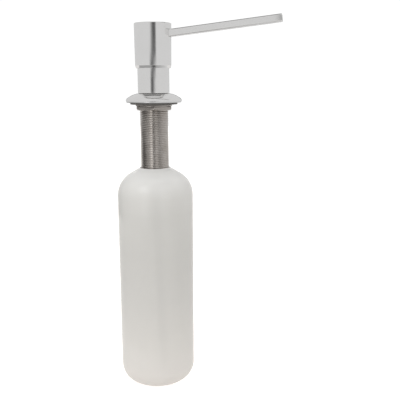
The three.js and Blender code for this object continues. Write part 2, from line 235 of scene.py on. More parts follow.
class Paint:
    """A material on one Principled shader, with short calls for the nodes that drive it."""

    def __init__(self, name, plain=None):
        self.material = bpy.data.materials.new(name)
        self.material.use_nodes = True
        self.nodes = self.material.node_tree.nodes
        self.links = self.material.node_tree.links
        self.shader = self.nodes["Principled BSDF"]
        for key, value in (plain or {}).items():
            self.shader.inputs[key].default_value = value
        self.place = self.nodes.new("ShaderNodeTexCoord").outputs["Object"]

    def node(self, kind, **settings):
        made = self.nodes.new("ShaderNode" + kind)
        for key, value in settings.items():
            setattr(made, key, value)
        return made

    def link(self, source, target):
        self.links.new(source, target)

    def stretched(self, x, y, z):
        """The object's coordinates, scaled along each axis."""
        mapping = self.node("Mapping")
        mapping.inputs["Scale"].default_value = (x, y, z)
        self.link(self.place, mapping.inputs["Vector"])
        return mapping.outputs["Vector"]

    def noise(self, scale, detail=3, rough=0.5, place=None):
        made = self.node("TexNoise")
        made.inputs["Scale"].default_value = scale
        made.inputs["Detail"].default_value = detail
        made.inputs["Roughness"].default_value = rough
        self.link(place or self.place, made.inputs["Vector"])
        return made.outputs["Fac"]

    def between(self, value, low, high, start=0.3, end=0.7):
        """Maps a value's stretch from start to end, where noise mostly lies, onto low to high."""
        made = self.node("MapRange", clamp=True)
        for key, number in zip(("From Min", "From Max", "To Min", "To Max"), (start, end, low, high)):
            made.inputs[key].default_value = number
        self.link(value, made.inputs["Value"])
        return made.outputs["Result"]

    def mixed(self, value, first, second, blend="MIX"):
        """Blends two colours, either of which may be a socket, by a value."""
        made = self.node("Mix", data_type="RGBA", blend_type=blend)
        for source, target in zip((value, first, second), (made.inputs[i] for i in MIX_COLOUR_INPUTS)):
            if isinstance(source, tuple):
                target.default_value = (*source, 1)
            elif isinstance(source, float):
                target.default_value = source
            else:
                self.link(source, target)
        return made.outputs[MIX_COLOUR_OUTPUT]

    def colour(self, value, first, second):
        self.link(self.mixed(value, first, second), self.shader.inputs["Base Color"])

    def by_height(self, stops):
        """A colour read off the height. stops are (millimetres, colour), from the bottom up."""
        low, high = stops[0][0], stops[-1][0]
        split = self.node("SeparateXYZ")
        self.link(self.place, split.inputs["Vector"])
        ramp = self.node("ValToRGB")
        elements = ramp.color_ramp.elements
        while len(elements) < len(stops):
            elements.new(0.5)
        for element, (z, tone) in zip(elements, stops):
            element.position = (z - low) / (high - low)
            element.color = (*tone, 1)
        share = self.between(split.outputs["Z"], 0, 1, low * MM, high * MM)
        self.link(share, ramp.inputs["Fac"])
        return ramp.outputs["Color"]

    def roughness(self, value, low, high):
        """The ranges all stay on one side of 0.274, around which renders show specks."""
        self.link(self.between(value, low, high), self.shader.inputs["Roughness"])

    def bump(self, value, height_mm, strength):
        made = self.node("Bump")
        made.inputs["Strength"].default_value = strength
        made.inputs["Distance"].default_value = height_mm * MM
        self.link(value, made.inputs["Height"])
        self.link(made.outputs["Normal"], self.shader.inputs["Normal"])


def chrome():
    paint = Paint("chrome", {"Metallic": 1})
    paint.colour(paint.between(paint.noise(60), 0, 1), (0.875, 0.87, 0.862), (0.905, 0.9, 0.895))
    paint.roughness(paint.noise(90, 5, 0.6), 0.07, 0.13)
    paint.bump(paint.noise(2200, 2), 0.0006, 0.5)
    return paint.material


def steel():
    paint = Paint("steel", {"Metallic": 1})
    paint.colour(paint.noise(300), (0.5, 0.49, 0.47), (0.62, 0.61, 0.6))
    paint.roughness(paint.noise(700, 4), 0.19, 0.265)
    paint.bump(paint.noise(3000, 2), 0.001, 0.5)
    return paint.material


def shank_metal():
    """Dull nickel over brass: warm grey, uneven, with turning marks along the thread."""
    paint = Paint("shank_metal", {"Metallic": 1})
    share = paint.between(paint.noise(110, 5, 0.6), 0, 1)
    paint.colour(share, (0.4, 0.367, 0.338), (0.535, 0.503, 0.475))
    paint.roughness(paint.noise(260, 5, 0.65), 0.19, 0.265)
    paint.bump(paint.noise(900, 3, 0.6, paint.stretched(1, 1, 7)), 0.012, 0.3)
    return paint.material


def rubber():
    paint = Paint("rubber", {"IOR": 1.45})
    paint.colour(paint.noise(400, 4), (0.1, 0.096, 0.09), (0.16, 0.154, 0.146))
    paint.roughness(paint.noise(900, 4), 0.5, 0.7)
    paint.bump(paint.noise(2500, 4, 0.7), 0.02, 0.5)
    return paint.material


def seal_plastic():
    paint = Paint("seal_plastic")
    paint.colour(paint.noise(200, 4), (0.27, 0.27, 0.26), (0.34, 0.34, 0.33))
    paint.roughness(paint.noise(700, 4), 0.4, 0.55)
    paint.bump(paint.noise(2500, 3), 0.008, 0.4)
    return paint.material


def white_plastic():
    paint = Paint("white_plastic")
    paint.colour(paint.noise(70, 4), (0.76, 0.76, 0.74), (0.83, 0.83, 0.81))
    paint.roughness(paint.noise(500, 5), 0.32, 0.46)
    paint.bump(paint.noise(1800, 3), 0.006, 0.4)
    return paint.material


def tube_plastic():
    """Extruded polyethylene, with faint draw lines along it. Its grey is partly its own colour and
    partly painted shade for its place inside the bottle.
    """
    paint = Paint("tube_plastic", {"IOR": 1.5})
    # a grey darkened partly as painted shade, for the dim inside of the bottle
    paint.colour(paint.noise(120, 3), (0.4, 0.42, 0.44), (0.48, 0.5, 0.52))
    paint.roughness(paint.noise(800, 4, 0.5, paint.stretched(1, 1, 0.05)), 0.29, 0.42)
    paint.bump(paint.noise(1500, 3, 0.5, paint.stretched(1, 1, 0.03)), 0.01, 0.4)
    return paint.material


def milky_plastic():
    """Blow moulded polyethylene: satin, with painted light and shade down its height: lighter at the
    foot and the shoulder, darker down the middle of the body.
    """
    paint = Paint("milky_plastic", {"IOR": 1.45, "Alpha": 0.68})
    # painted light and shade: lighter at the foot and the shoulder, darker down the middle of the body
    tone = paint.by_height([
        (-248, (0.92, 0.885, 0.85)),
        (-222, (0.87, 0.85, 0.815)),
        (-196, (0.81, 0.795, 0.762)),
        (-165, (0.745, 0.735, 0.708)),
        (-127, (0.722, 0.715, 0.688)),
        (-92, (0.745, 0.74, 0.713)),
        (-76, (0.81, 0.805, 0.78)),
        (-62, (0.9, 0.895, 0.875)),
    ])
    share = paint.between(paint.noise(22, 4, 0.6), 0, 1)
    paint.colour(share, tone, paint.mixed(1.0, tone, (0.965,) * 3, "MULTIPLY"))
    paint.roughness(paint.noise(160, 5, 0.6), 0.285, 0.33)
    paint.bump(paint.noise(320, 3, 0.5), 0.015, 0.25)
    return paint.material


# each finish is named after its material slot
PAINTS = {finish.__name__: finish() for finish in (
    chrome, steel, shank_metal, rubber, seal_plastic, white_plastic, tube_plastic, milky_plastic,
)}


# ---- head ----

HEAD_BORE = 13.7
HEAD_CEILING = 63.6
HEAD_SKIRT_EDGE = 14.35                # outer radius at the skirt's lower edge
HEAD_CHAMFER_TOP = 32
HEAD_SKIRT_R = 15.15                   # outer radius above the skirt's chamfer
SPOUT_RISE = math.radians(6.3)
SPOUT_AXIS_Z = 56.5
SPOUT_ROOT, SPOUT_TIP = 7.5, 107.5     # along its own centreline
SPOUT_WIDTH, SPOUT_HEIGHT, SPOUT_WALL = 8, 6.2, 0.8
SPOUT_CORNER = 1.0
SPOUT_SEAM = 0.12                      # clearance round the spout where it enters the head
SPOUT_BORE = 1.3                       # of the soap tube inside it, and of its nozzle
TIP_RECESS, TIP_LENGTH = 0.35, 2.8
CORNER_STEPS = 6


def spout_point(x, y, z):
    """A point of the spout's own space, where +X runs to the tip, in the frame."""
    cos, sin = math.cos(SPOUT_RISE), math.sin(SPOUT_RISE)
    return (x * cos - z * sin, y, x * sin + z * cos + SPOUT_AXIS_Z)


def spout_ring(x, width, height, corner):
    """A rectangle with round corners, across the spout."""
    ring = []
    for quarter in range(4):
        sy, sz = ((1, 1), (-1, 1), (-1, -1), (1, -1))[quarter]
        cy, cz = sy * (width / 2 - corner), sz * (height / 2 - corner)
        for i in range(CORNER_STEPS + 1):
            a = math.pi / 2 * (quarter + i / CORNER_STEPS)
            y, z = cy + corner * math.cos(a), cz + corner * math.sin(a)
            along_y, along_z = -math.sin(a) * EDGE_MARGIN, math.cos(a) * EDGE_MARGIN
            if i == 0:
                ring.append(spout_point(x, y - along_y, z - along_z))
            ring.append(spout_point(x, y, z))
            if i == CORNER_STEPS:
                ring.append(spout_point(x, y + along_y, z + along_z))
    return ring


def spout_circle(x, size):
    """As many points as spout_ring has, on a circle."""
    ring = []
    for quarter in range(4):
        for i in range(CORNER_STEPS + 3):
            a = math.pi / 2 * (quarter + (i + 0.5) / (CORNER_STEPS + 3))
            ring.append(spout_point(x, size * math.cos(a), size * math.sin(a)))
    return ring


def inset_ring(x, inset, corner=None):
    """The spout's section, made smaller all round. Its corners shrink with it unless they are given."""
    least = 0.12
    corner = max(least, SPOUT_CORNER - inset) if corner is None else corner
    return spout_ring(x, SPOUT_WIDTH - 2 * inset, SPOUT_HEIGHT - 2 * inset, corner)


def spout_piece(name, rings):
    """A tube from rings that run out along its outside and back along its bore."""
    return lofted(name, [ring[::-1] for ring in reversed(rings)])


def head_cap():
    low, high = heights("head_cap")
    top_r = radius("head_cap")
    outline = rounded([
        (0, HEAD_CEILING),
        (HEAD_BORE, HEAD_CEILING, 0.6),
        (HEAD_BORE, low, 0.12),
        (HEAD_SKIRT_EDGE, low, 0.25),
        (HEAD_SKIRT_R, HEAD_CHAMFER_TOP, 0.8),
        (top_r, high, 0.45),
        (0, high),
    ], 7)
    cap = turned("head_cap", outline, 192)
    through = (HEAD_BORE - 5, top_r + 3)
    hole = lofted("spout_hole", [inset_ring(x, -SPOUT_SEAM, SPOUT_CORNER) for x in through], False)
    return cut(cap, hole)


def spout_tube():
    ease = 0.35                        # radius of the cut end's outer edges
    inner_ease = 0.1
    # places along the spout with their insets: the middle two keep the shading of its long faces even
    outer = [(SPOUT_ROOT, 0), (SPOUT_ROOT + 12, 0), (SPOUT_TIP - 6, 0), (SPOUT_TIP - ease, 0)]
    lip = [
        (SPOUT_TIP - ease + ease * math.sin(a), ease - ease * math.cos(a))
        for a in (math.pi / 2 * i / 5 for i in range(1, 6))
    ]
    inner = [(SPOUT_TIP, SPOUT_WALL - inner_ease), (SPOUT_TIP - inner_ease, SPOUT_WALL)]
    inner += [(SPOUT_ROOT, SPOUT_WALL)]
    return spout_piece("spout_tube", [inset_ring(x, inset) for x, inset in outer + lip + inner])


def spout_tip():
    """A plug inside the spout's end, set back a little, with a chamfered nozzle."""
    corner, edge, chamfer = 0.4, 0.2, 0.5
    front = SPOUT_TIP - TIP_RECESS
    back = front - TIP_LENGTH
    inset = SPOUT_WALL + 0.1
    return spout_piece("spout_tip", [
        inset_ring(back, inset, corner),
        inset_ring(front - edge, inset, corner),
        inset_ring(front, inset + edge, corner),
        spout_circle(front, SPOUT_BORE + chamfer),
        spout_circle(front - chamfer, SPOUT_BORE),
        spout_circle(back, SPOUT_BORE),
    ])


def spout_liner():
    outer = 2
    root, tip = 3.5, SPOUT_TIP - TIP_RECESS - TIP_LENGTH - GAP
    path = ((root, outer), (tip, outer), (tip, SPOUT_BORE), (root, SPOUT_BORE))
    return spout_piece("spout_liner", [spout_circle(x, size) for x, size in path])


# ---- pump cartridge, seen when it is lifted out ----

def collar():
    low, high = heights("collar")
    outer = radius("collar")
    inner = outer - 0.9
    return turned("collar", rounded([
        (inner, low, 0.15),
        (outer, low, 0.35),
        (outer, high, 0.3),
        (inner, high, 0.15),
    ], 6), 192)


def closure():
    low, high = heights("closure")
    outer = radius("closure")
    groove, groove_top = 11, low + 1.3
    wiper_pocket = 28.7
    return turned("closure", rounded([
        (BARREL_BORE, low, 0.2),
        (groove, low, 0.2),
        (groove, groove_top),
        (outer, groove_top, 0.2),
        (outer, high, 0.6),
        (STEM_BORE, high, 0.3),
        (STEM_BORE, wiper_pocket),
        (BARREL_BORE, wiper_pocket, 0.4),
    ]), 144)


def pump_cylinder():
    """A barrel with three ribs, a narrow snout for the valve and the tube, and a rim to hang by."""
    low, high = heights("pump_cylinder")
    rim = radius("pump_cylinder")
    outer, bore = 8.75, 6.25
    snout, socket = 5.5, 3.8
    chamber, seat = 3.2, 1.9
    bottom, floor = -46, -44.3
    seat_top, socket_top = -50.3, -53
    rim_low, rim_high = 7.6, 9
    rib, rib_height, rib_spacing, rib_slope = 0.18, 0.8, 12.5, 0.15
    corners = [(socket, low, 0.3), (snout, low, 0.5), (snout, bottom, 1.2), (outer, bottom, 1.0)]
    for i in range(1, 4):
        z = bottom + i * rib_spacing
        crest = outer + rib
        corners += [(outer, z), (crest, z + rib_slope)]
        corners += [(crest, z + rib_height - rib_slope), (outer, z + rib_height)]
    corners += [
        (outer, rim_low, 0.3), (rim, rim_low, 0.25), (rim, rim_high, 0.25), (outer, rim_high, 0.25),
        (outer, high, 0.4), (bore, high, 0.4),
        (bore, floor, 0.3), (chamber, floor, 0.2), (chamber, seat_top, 0.3), (seat, seat_top, 0.15),
        (seat, socket_top), (socket, socket_top),
    ]
    barrel = turned("pump_cylinder", rounded(corners), 144)
    # two small holes let air into the bottle as soap leaves it
    vent_r, vent_z = 0.9, 2.5
    for side in (1, -1):
        angles = [side * math.pi / 8 * i for i in range(16)]
        vent = lofted("vent", [
            [(side * x, vent_r * math.cos(a), vent_z + vent_r * math.sin(a)) for a in angles]
            for x in (bore - 2, bore + 4)
        ], False)
        cut(barrel, vent)
    return barrel


def rod_guide():
    low, high = heights("rod_guide")
    rim, rim_low = radius("rod_guide"), high - 1.7
    outer = 5.95
    return turned("rod_guide", rounded([
        (STEM_BORE, low, 0.2),
        (outer, low, 0.4),
        (outer, rim_low, 0.2),
        (rim, rim_low, 0.2),
        (rim, high, 0.3),
        (STEM_BORE, high, 0.3),
    ]), 96)


def plain_ring(node, inner, edge, sides=96):
    """A ring of a rectangular section, with its edges rounded."""
    low, high = heights(node)
    outer = radius(node)
    corners = [(inner, low, edge), (outer, low, edge), (outer, high, edge), (inner, high, edge)]
    return turned(node, rounded(corners), sides)


def o_ring(node):
    """A ring of a round section."""
    low, high = heights(node)
    section = (high - low) / 2
    return turned(node, arc(radius(node) - section, low + section, section, -180, 150, 11), 144)


def smooth_ball(node):
    low, high = heights(node)
    size = (high - low) / 2
    return turned(node, [(0, low)] + arc(0, low + size, size, -84, 84, 14) + [(0, high)], 32)


def piston():
    """A double cup seal, with a thin lip below and a waist between its two lands."""
    low, high = heights("piston")
    outer = radius("piston")
    waist = outer - 0.55
    cup = low + 0.8
    return turned("piston", rounded([
        (STEM_BORE, cup),
        (outer - 1, cup, 0.3),
        (outer - 0.5, low),
        (outer, low, 0.1),
        (outer, low + 1.5, 0.4),
        (waist, low + 3, 0.6),
        (waist, high - 3, 0.6),
        (outer, high - 1.5, 0.4),
        (outer, high, 0.3),
        (STEM_BORE, high),
    ]), 96)


def piston_rod():
    low, high = heights("piston_rod")
    outer, bore, pocket, pocket_low = 3.5, 1.6, 2.4, 48.2
    groove, groove_low, groove_high = 3, -22.5, -20.8
    stop, stop_low, stop_high = 4.9, -11.9, -10.4
    return turned("piston_rod", rounded([
        (bore, low, 0.2),
        (outer, low, 0.5),
        (outer, groove_low), (groove, groove_low), (groove, groove_high), (outer, groove_high),
        (outer, stop_low), (stop, stop_low, 0.2), (stop, stop_high, 0.2), (outer, stop_high, 0.2),
        (outer, high, 0.3),
        (pocket, high, 0.2),
        (pocket, pocket_low, 0.2),
        (bore, pocket_low, 0.15),
    ]), 96)


def head_hub():
    """The hub keeps its CAD shape, whose pockets are flat, and takes a fine bevel on its edges."""
    hub = bpy.data.objects.new("head_hub_piece", frame["nodes"]["head_hub"].data.copy())
    bpy.context.scene.collection.objects.link(hub)
    applied(
        hub, "BEVEL", width=0.25 * MM, segments=2, limit_method="ANGLE", angle_limit=math.radians(40),
    )
    shade(hub)
    return hub


TUBE_R, TUBE_BORE = 3.5, 2.5
TUBE_STRAIGHT = 8                      # length that its socket keeps straight
TUBE_BOW = 5.4                         # how far its lower end leans aside
TUBE_SLANT, SLANT_FROM = 0.85, 0.97    # slope of its cut end, and the share where rings start to lean


def dip_tube():
    """A pickup tube that hangs straight out of its socket, bows to one side and is cut at a slant."""
    low, high = heights("dip_tube")
    steps, sides = 60, 40
    length = high - low

    def ring(share, size):
        free = max(0, share * length - TUBE_STRAIGHT) / (length - TUBE_STRAIGHT)
        offset = TUBE_BOW * free ** 1.1
        cx, cy = offset * math.cos(VIEW_AZIMUTH), offset * math.sin(VIEW_AZIMUTH)
        lift = TUBE_SLANT * max(0, share - SLANT_FROM) / (1 - SLANT_FROM)
        points = []
        for i in range(sides):
            a = -2 * math.pi * i / sides
            x, y = size * math.cos(a), size * math.sin(a)
            points.append((cx + x, cy + y, high - share * length + lift * (x + TUBE_R)))
        return points

    outer = [ring(i / steps, TUBE_R) for i in range(steps + 1)]
    inner = [ring(1 - i / steps, TUBE_BORE) for i in range(steps + 1)]
    return lofted("dip_tube", outer + inner)


def return_spring():
    """A wire spring with closed end coils."""
    low, high = heights("return_spring")
    wire, mean = 0.45, 4.4             # radii of the wire and of the coil's centreline
    turns, closed, sides, per_turn = 6, 0.8, 10, 40
    start, end = low + wire, high - wire
    closed_rise = 2 * wire * closed

    def height(turn):
        if turn < closed:
            return start + 2 * wire * turn
        if turn > turns - closed:
            return end - 2 * wire * (turns - turn)
        share = (turn - closed) / (turns - 2 * closed)
        return start + closed_rise + (end - start - 2 * closed_rise) * share

    section = [-2 * math.pi * i / sides for i in range(sides)]
    rings = []
    for step in range(turns * per_turn + 1):
        turn = step / per_turn
        a = 2 * math.pi * turn
        z = height(turn)
        wall = [(mean + wire * math.cos(b), z + wire * math.sin(b)) for b in section]
        rings.append([(r * math.cos(a), r * math.sin(a), wall_z) for r, wall_z in wall])
    return lofted("return_spring", rings, False)


# ---- deck fitting ----

THREAD_PITCH = 1.5
THREAD_DEPTH = 0.4


def flange():
    """A domed escutcheon: one large arc from the seat, tangent to a round rim."""
    low, high = heights("flange")
    rim_r, rim_z, seat = 2.4, 3.1, 13.6
    foot, foot_edge, relief = 19.5, 20.0, 0.25
    throat, ledge = 11.6, 6.6          # the hole that the pump passes, over the shank's thread
    rim_x = radius("flange") - rim_r
    start = 80                         # which way the dome faces at the seat, in degrees of elevation
    nx, nz = math.cos(math.radians(start)), math.sin(math.radians(start))
    ax, az = seat - rim_x, high - rim_z
    dome_r = (ax * ax + az * az - rim_r ** 2) / (2 * (ax * nx + az * nz - rim_r))
    dome_x, dome_z = seat - dome_r * nx, high - dome_r * nz
    tangent = math.degrees(math.atan2(rim_z - dome_z, rim_x - dome_x))
    lowest = -math.degrees(math.asin((rim_z - low) / rim_r))
    edge = arc(rim_x, rim_z, rim_r, lowest, tangent, 22)
    dome = arc(dome_x, dome_z, dome_r, tangent, start, 16)[1:]
    outline = [(SHANK_BORE, low), (foot, low), (foot_edge, low + relief)]
    outline += [(edge[0][0] - 0.6, low + relief)] + edge + dome
    outline += rounded([(0, 0), (throat, high, 0.2), (throat, ledge)])[1:] + [(SHANK_BORE, ledge)]
    return turned("flange", outline, 192)


def deck_gasket():
    """A flat ring with a raised bead below, at its outer edge, which rests on the worktop."""
    low, high = heights("deck_gasket")
    outer, inner = radius("deck_gasket"), 12.6
    web_low, web_edge, bead = 0.4, 17.4, 17.8
    return turned("deck_gasket", rounded([
        (inner, web_low, 0.15),
        (web_edge, web_low, 0.2),
        (bead, low, 0.15),
        (outer, low, 0.3),
        (outer, high, 0.3),
        (inner, high, 0.15),
    ]), 144)


def thread_radius(phase, crest):
    """The radius across one pitch of a metric thread: a flat crest, straight flanks, a round root."""
    crest_share, flank_share, root_softness = 0.3, 0.55, 0.12
    away = abs(phase % 1 - 0.5) * 2
    depth = min(1, max(0, (away - crest_share) / flank_share))
    return crest - THREAD_DEPTH * (depth - root_softness * math.sin(math.pi * depth) * depth)


def shank():
    """A tube with a real helical thread, which fades out at both ends."""
    low, high = heights("shank")
    crest = radius("shank") + 0.1
    bore = 9.5
    sides, rows_per_turn = 96, 8
    fade = 1.1                         # length over which the thread grows to its full depth
    core = crest - THREAD_DEPTH
    step = THREAD_PITCH / rows_per_turn
    rows = math.ceil((high - low) / step)
    points = []
    faces = []

    def add(r, z, i):
        a = 2 * math.pi * i / sides
        points.append((r * math.cos(a), r * math.sin(a), z))
        return len(points) - 1

    bottom = [add(core, low, i) for i in range(sides)]
    top = [add(core, high, i) for i in range(sides)]
    made = {}

    def vertex(i, j):
        turn, i = divmod(i, sides)
        j += turn * rows_per_turn
        z = low + j * step + THREAD_PITCH * i / sides
        if z <= low + TINY:
            return bottom[i]
        if z >= high - TINY:
            return top[i]
        if (i, j) not in made:
            ends = min(1, (z - low) / fade, (high - z) / fade)
            r = core + (thread_radius(j / rows_per_turn, crest) - core) * ends
            made[i, j] = add(r, z, i)
        return made[i, j]

    for j in range(-rows_per_turn - 1, rows + 1):
        for i in range(sides):
            corners = (vertex(i, j), vertex(i + 1, j), vertex(i + 1, j + 1), vertex(i, j + 1))
            face = list(dict.fromkeys(corners))
            if len(face) > 2 and not set(face) <= set(bottom) and not set(face) <= set(top):
                faces.append(face)
    inner_top = [add(bore, high, i) for i in range(sides)]
    inner_bottom = [add(bore, low, i) for i in range(sides)]
    loops = (top, inner_top, inner_bottom, bottom)
    for first, second in zip(loops, loops[1:]):
        for i in range(sides):
            k = (i + 1) % sides
            faces.append((first[i], first[k], second[k], second[i]))
    return mesh_object("shank", points, faces, 40)


NUT_FLATS = 29                         # across two opposite flats
NUT_TURN = math.radians(-74)           # direction of one of its corners
NUT_CHAMFER_SLOPE = 0.55               # rise over run of the cone that turns its lower corners


def mounting_nut():
    """A hexagon nut with turned corners, as a round blank whose radius follows the hexagon."""
    low, high = heights("mounting_nut")
    apothem = NUT_FLATS / 2
    corner = apothem / math.cos(math.pi / 6)
    bore, lead_in, top_edge = SHANK_BORE, 0.4, (0.12, 0.15)
    soft = 0.12                        # how gently the corners' cone meets the flats

    def lesser(a, b):
        """The smaller of two radii, with a smooth change from one to the other."""
        difference = abs(a - b) / soft
        return min(a, b) - soft * math.log1p(math.exp(-difference)) if difference < 20 else min(a, b)

    def hexagon(r, z, angle):
        """Draws a point of the round blank in to the hexagon, and leaves those near the bore."""
        if r <= bore + 0.7:
            return r, z
        turn = (angle - NUT_TURN) % (math.pi / 3) - math.pi / 6
        side = apothem / math.cos(turn)
        cone = apothem - 0.15 + (z - low) / NUT_CHAMFER_SLOPE
        share = (r - bore) / (corner - bore)
        return bore + (lesser(side, cone) - bore) * share, z

    rise = high - low
    wall = [(corner, low + rise * i / 12) for i in range(12)]
    outline = [(bore, low + lead_in), (bore + lead_in, low)] + wall
    outline += [(corner, high - top_edge[0]), (corner - top_edge[1], high)]
    outline += [(bore + lead_in, high), (bore, high - lead_in)]
    return turned("mounting_nut", outline, 240, hexagon)


# ---- bottle ----

BOTTLE_WALL = 1.2
SEAM_PLANE = VIEW_AZIMUTH + math.radians(92)    # direction square to the plane of the parting line
SEAM_WIDTH, SEAM_HEIGHT = 0.35, 0.16
PINCH_WIDTH, PINCH_HEIGHT = 0.7, 0.35  # of the ridge across the base
WAVE_LENGTH, WAVE_HEIGHT = 28, 0.07    # of the wall's unevenness
WAVE_FADE = 12                         # below the mouth, over which the unevenness grows


def bottle_angles(seams):
    """Even steps round the bottle, with close ones at the mould's parting line."""
    steps, clear = 120, math.radians(2.4)
    near = [d / 10 for d in (-16, -12, -9, -7, -5, -3, -1.5, 0, 1.5, 3, 5, 7, 9, 12, 16)]
    close = [seam + math.radians(d) for seam in seams for d in near]
    even = [2 * math.pi * i / steps for i in range(steps)]

    def apart(a, b):
        return abs((a - b + math.pi) % (2 * math.pi) - math.pi)

    even = [a for a in even if min(apart(a, seam) for seam in seams) > clear]
    return sorted(a % (2 * math.pi) for a in even + close)


def bottle():
    low, outer = heights("bottle")[0], radius("bottle")
    corner_r, shoulder_r, shoulder_z = 14.6, 22, -78
    push_up, foot = 3, 14              # height and radius of the hollow underneath
    mouth, boss, bore, lip = -54.4, 15, 12.4, 10.2    # the mouth's height, and the neck's radii
    seal_seat, lip_low = -69, -70.4
    turn = 60                          # degrees of round before the sloping top
    axis_r, corner_z = outer - shoulder_r, low + corner_r
    inner_r = shoulder_r - BOTTLE_WALL
    slope = math.tan(math.radians(90 - turn))

    def slope_z(size, at):
        r, z = arc(axis_r, shoulder_z, size, turn, turn, 1)[0]
        return z + (r - at) * slope

    body_rows = 26
    straight = [corner_z + (shoulder_z - corner_z) * i / body_rows for i in range(1, body_rows)]
    base = [(foot * (1 - math.cos(a)), low + push_up * (1 + math.cos(2 * a)) / 2)
            for a in (math.pi / 2 * i / 8 for i in range(9))]
    outline = base + arc(outer - corner_r, corner_z, corner_r, -90, 0, 14)
    outline += [(outer, z) for z in straight]
    outline += arc(axis_r, shoulder_z, shoulder_r, 0, turn, 16)
    outline += [(r, slope_z(shoulder_r, r)) for r in (19, 17, 15, 14)]
    mouth_edge = bore + 0.6
    outline += rounded([
        (mouth_edge + 1, 0), (mouth_edge, slope_z(shoulder_r, mouth_edge), 0.4), (bore, mouth - 0.5),
    ])[1:]
    outline += rounded([
        (bore, 0), (bore, seal_seat), (lip, seal_seat, 0.2), (lip, lip_low, 0.3),
        (boss, lip_low, 0.6), (boss, slope_z(inner_r, boss)),
    ])[1:]
    outline += arc(axis_r, shoulder_z, inner_r, turn, 0, 10)
    outline += arc(outer - corner_r, corner_z, corner_r - BOTTLE_WALL, 0, -90, 8)
    outline += [(r, z + BOTTLE_WALL) for r, z in reversed(base)]

    seams = (SEAM_PLANE + math.pi / 2, SEAM_PLANE - math.pi / 2)

    def seam_distance(r, angle):
        return abs(r * math.cos(angle - SEAM_PLANE))

    inner_wall = outer - BOTTLE_WALL / 2

    def moulded(r, z, angle):
        """Adds the parting line, the pinched base and a slight unevenness to the outer skin."""
        away = seam_distance(r, angle)
        on_base = z < low + push_up + 0.2 and r < outer - corner_r
        if on_base:
            ridge = PINCH_HEIGHT * math.exp(-(away / PINCH_WIDTH) ** 2)
            held = min(1, max(0, (z - low) / 0.6))
            return r, z - ridge * held
        skin = r > inner_wall or (z > mouth - 25 and r > boss + 1)
        if not skin:
            return r, z
        ridge = SEAM_HEIGHT * math.exp(-(away / SEAM_WIDTH) ** 2)
        place = Vector((r * math.cos(angle), r * math.sin(angle), z)) / WAVE_LENGTH
        wave = WAVE_HEIGHT * noise.noise(place) * min(1, max(0, (mouth - z) / WAVE_FADE))
        return r + ridge + wave, z

    return turned("bottle", outline, reshape=moulded, angles=bottle_angles(seams), sharp=40)


# ---- the object ----

MAKERS = {
    "head_cap": head_cap,
    "head_hub": head_hub,
    "spout_tube": spout_tube,
    "spout_liner": spout_liner,
    "spout_tip": spout_tip,
    "piston_rod": piston_rod,
    "piston": piston,
    "piston_clip": lambda: plain_ring("piston_clip", 3.3, 0.15),
    "outlet_ball": lambda: smooth_ball("outlet_ball"),
    "return_spring": return_spring,
    "pump_cylinder": pump_cylinder,
    "rod_guide": rod_guide,
    "rod_wiper": lambda: plain_ring("rod_wiper", STEM_BORE, 0.3),
    "closure": closure,
    "collar": collar,
    "collar_o_ring": lambda: o_ring("collar_o_ring"),
    "cylinder_gasket": lambda: plain_ring("cylinder_gasket", BARREL_BORE, 0.2, 144),
    "ball_cage": lambda: plain_ring("ball_cage", 1.9, 0.2),
    "inlet_ball": lambda: smooth_ball("inlet_ball"),
    "dip_tube": dip_tube,
    "flange": flange,
    "deck_gasket": deck_gasket,
    "shank": shank,
    "clamp_washer": lambda: plain_ring("clamp_washer", SHANK_BORE, 0.25, 144),
    "mounting_nut": mounting_nut,
    "bottle": bottle,
    "bottle_seal": lambda: plain_ring("bottle_seal", 10.2, 0.3, 144),
}

pieces = {}
for node, make in MAKERS.items():
    pieces[node] = stand_for(make(), node)

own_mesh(pieces["return_spring"])


# ---- camera, in metres ----

CAMERA_DISTANCE = 0.520                # from the axis
CAMERA_HEIGHT = 0.020                  # above the worktop's surface
CAMERA_LENS = 54.29                    # millimetres, on a 36 mm sensor
CAMERA_PITCH = math.radians(11.25)
CAMERA_YAW = math.radians(4.285)
CAMERA_ROLL = math.radians(0.2)


def add_camera():
    data = bpy.data.cameras.new("camera")
    data.sensor_width = 36
    data.lens = CAMERA_LENS
    data.clip_start = 0.01
    camera = bpy.data.objects.new("camera", data)
    bpy.context.scene.collection.objects.link(camera)
    away = Vector((math.sin(VIEW_AZIMUTH), -math.cos(VIEW_AZIMUTH), 0))
    place = away * CAMERA_DISTANCE + Vector((0, 0, CAMERA_HEIGHT))
    level = Matrix.Rotation(-CAMERA_YAW, 3, "Z") @ -away
    forward = level * math.cos(CAMERA_PITCH) - Vector((0, 0, math.sin(CAMERA_PITCH)))
    right = forward.cross(Vector((0, 0, 1))).normalized()
    up = right.cross(forward)
    axes = Matrix((right, up, -forward)).transposed()
    roll = Matrix.Rotation(-CAMERA_ROLL, 3, "Z")
    camera.matrix_world = Matrix.Translation(place) @ (axes @ roll).to_4x4()
    bpy.context.scene.camera = camera


# ---- studio, in metres ----

LIGHT_LEVEL = 0.67                     # what shines in the chrome all round
HORIZON_LEVEL, ZENITH_LEVEL = 0.45, 1.25    # what lights the matt surfaces
BACKGROUND_LEVEL = 1.05
FLOOR_SEEN, FLOOR_MIRRORED, FLOOR_LIT = 0.75, 0.1, 0.42    # the floor's own glow, by kind of ray
FLOOR_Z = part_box("bottle")[0].z - 0.0004
SECOND_BOUNCE = 1.5                    # a ray's Glossy Depth is below this in the first reflection only


def reflected_only(obj, level):
    """Makes an object a glowing card that shows in the dispenser's shine and nowhere else. level
    makes the socket of its strength in the node tree that it is given."""
    material = bpy.data.materials.new(obj.name)
    material.use_nodes = True
    tree = material.node_tree
    tree.nodes.clear()
    shader = tree.nodes.new("ShaderNodeEmission")
    output = tree.nodes.new("ShaderNodeOutputMaterial")
    tree.links.new(level(tree), shader.inputs["Strength"])
    tree.links.new(shader.outputs[0], output.inputs["Surface"])
    obj.data.materials.append(material)
    obj.visible_camera = False
    obj.visible_diffuse = False
    obj.visible_shadow = False
    obj.visible_transmission = False


